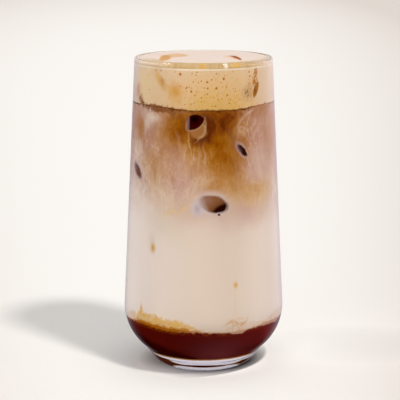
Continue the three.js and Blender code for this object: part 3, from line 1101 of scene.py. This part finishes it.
# The ice
# Cubes from a tray, with faces gone round and corners melted. They float under the foam and lie packed below
# it in the coffee. All are wholly sunk, and eight lie right against the glass, behind the dark windows
# painted as shade on the drink's face.
# Degrees round, distance from the axis and height of the middle in mm, degrees turned over.
ICE_CUBES = [
    (-54, 17, 136, 20), (53, 17, 135, 65), (180, 17, 136, 40),
    (-6, 21.9, 118.5, 30), (113, 21.5, 117, 75), (-119, 22.1, 117, 10),
    (41, 22.5, 100.5, 50), (-64, 22.4, 98, 15), (171, 23.2, 98, 60),
    (1, 24.4, 82.5, 80), (-128, 23.4, 89, 45),
]
CUBE_HALF = 8
CUBE_SQUARENESS = 5
CUBE_STEPS = 10


def ice_finish():
    finish = material("clear_ice")
    wall = WallPlace(finish)
    frost = (wall.noise(2.5, 1, 3.0, 0.4, 40) * 4).clamped()
    clear = {"IOR": 1.31, "Transmission Weight": 0.9}
    return finish.shaded({"Base Color": (0.92, 0.95, 0.97, 1), "Roughness": frost * 0.3 + 0.04, **clear})


def on_cube(corner):
    """A point of a cube's face, from -1 to 1 each way, drawn in to the melted cube, in mm."""
    size = np.sum(np.abs(corner) ** CUBE_SQUARENESS) ** (1 / CUBE_SQUARENESS)
    return corner / size * CUBE_HALF


def turned_over(point, lie):
    """The point turned by the same angle, first about x and then about y."""
    x, y, z = point
    y, z = y * math.cos(lie) - z * math.sin(lie), y * math.sin(lie) + z * math.cos(lie)
    x, z = x * math.cos(lie) - z * math.sin(lie), x * math.sin(lie) + z * math.cos(lie)
    return x, y, z


def melted_cubes(name, listed, finish):
    """Closed cubes, each a grid on its six faces drawn in to a superellipsoid, joined in one mesh."""
    grid = np.tan(np.linspace(-math.pi / 4, math.pi / 4, CUBE_STEPS + 1))
    points = []
    faces = []
    for turn, out, height, roll in listed:
        at = math.radians(turn)
        known = {}
        for axis, end in itertools.product(range(3), (-1, 1)):
            numbers = np.empty((CUBE_STEPS + 1, CUBE_STEPS + 1), int)
            for (i, u), (j, v) in itertools.product(enumerate(grid), repeat=2):
                corner = np.zeros(3)
                corner[axis], corner[(axis + 1) % 3], corner[(axis + 2) % 3] = end, u, v
                key = tuple(np.round(corner, 6))
                if key not in known:
                    known[key] = len(points)
                    x, y, z = turned_over(on_cube(corner), math.radians(roll))
                    points.append((out * math.sin(at) + x, y - out * math.cos(at), z + height))
                numbers[i, j] = known[key]
            for i, j in itertools.product(range(CUBE_STEPS), repeat=2):
                ring = [numbers[i, j], numbers[i + 1, j], numbers[i + 1, j + 1], numbers[i, j + 1]]
                faces.append([int(k) for k in (ring if end > 0 else ring[::-1])])
    return mesh_object(name, points, faces, finish)


ice = melted_cubes("ice_cubes", ICE_CUBES, ice_finish())
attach(ice, "root")

# The bubbles
# Bubbles that have come up in the foam against the glass. Each is a thin round blister in the foam's face,
# amber where the coffee drains into it.
# The larger ones at the front: degrees round, height, radius in mm.
BUBBLES = [
    (-19.5, 144.9, 0.75), (-14, 139, 0.46), (-10, 137.3, 0.55), (-7, 135.5, 0.42), (-1.8, 134.4, 0.42),
    (2.8, 141.5, 0.62), (3.2, 138.7, 0.54), (2.8, 136, 0.46), (10.3, 138.6, 0.6), (16.5, 142.9, 0.66),
    (19.5, 135.5, 0.5), (26.5, 137, 0.36), (6.5, 142.6, 0.42), (10.5, 145.3, 0.42), (18.5, 139.4, 0.34),
    (21, 131.7, 0.46), (-5.5, 146, 0.36), (-9.5, 145.4, 0.36), (-2, 142, 0.36), (-12, 139.2, 0.36),
    (-6, 137.2, 0.3), (0.5, 138.9, 0.34), (-8.5, 141.6, 0.36), (40.5, 145.4, 0.5), (41.2, 143.4, 0.48),
    (-2, 132.6, 0.34), (-37.5, 146.1, 0.42), (-43, 146, 0.34), (22, 133.4, 0.34), (-24, 145.9, 0.3),
]
STRAY_BUBBLES = 420
STRAY_HEIGHTS = (130, 146.6)
BUBBLE_SIDES = 10
# A bubble's rings: share of its radius, and how far it stands out into the glass's wall in mm.
BUBBLE_RINGS = [(1, -0.04), (0.8, 0.03), (0.4, 0.06)]


def bubble_finish():
    finish = material("foam_bubbles")
    wall = WallPlace(finish)
    colour = finish.blend(wall.noise(1.2, 1, 2.0) * 3 + 0.5, behind(196, 124, 42), behind(162, 84, 20))
    return finish.shaded({"Base Color": colour, "Roughness": 0.4, "Specular IOR Level": 0})


def blisters(name, listed, finish):
    """Thin round blisters on the foam's face against the glass, joined in one mesh."""
    points = []
    faces = []
    for turn, height, size in listed:
        first = len(points)
        outward = float(cavity_radius(height)) + POKE
        for ring, (share, lift) in enumerate(BUBBLE_RINGS):
            for side in range(BUBBLE_SIDES):
                angle = 2 * math.pi * side / BUBBLE_SIDES
                at = math.radians(turn) + share * size * math.cos(angle) / outward
                radius = outward + lift
                z = height + share * size * math.sin(angle)
                points.append((radius * math.sin(at), -radius * math.cos(at), z))
                low = first + ring * BUBBLE_SIDES
                k = (side + 1) % BUBBLE_SIDES
                if ring < len(BUBBLE_RINGS) - 1:
                    faces.append((low + side, low + k, low + BUBBLE_SIDES + k, low + BUBBLE_SIDES + side))
        faces.append([low + side for side in range(BUBBLE_SIDES)])
        faces.append([first + side for side in reversed(range(BUBBLE_SIDES))])
    return mesh_object(name, points, faces, finish)


def crowding(turn):
    """How thickly the small bubbles lie at a place round the glass, mostly in front and behind."""
    crowd = math.exp(-(((turn - 8) / 24) ** 2)) + 0.7 * math.exp(-(((abs(turn) - 150) / 40) ** 2)) + 0.12
    return crowd * (0.4 if 43 < turn < 75 else 1)


rng = random.Random(5)
strays = []
while len(strays) < STRAY_BUBBLES:
    turn, height = rng.uniform(-180, 180), rng.uniform(*STRAY_HEIGHTS)
    if rng.random() < crowding(turn):
        strays.append((turn, height, 0.13 + 0.24 * rng.random() ** 3))
bubbles = blisters("foam_bubbles", BUBBLES + strays, bubble_finish())
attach(bubbles, "root")
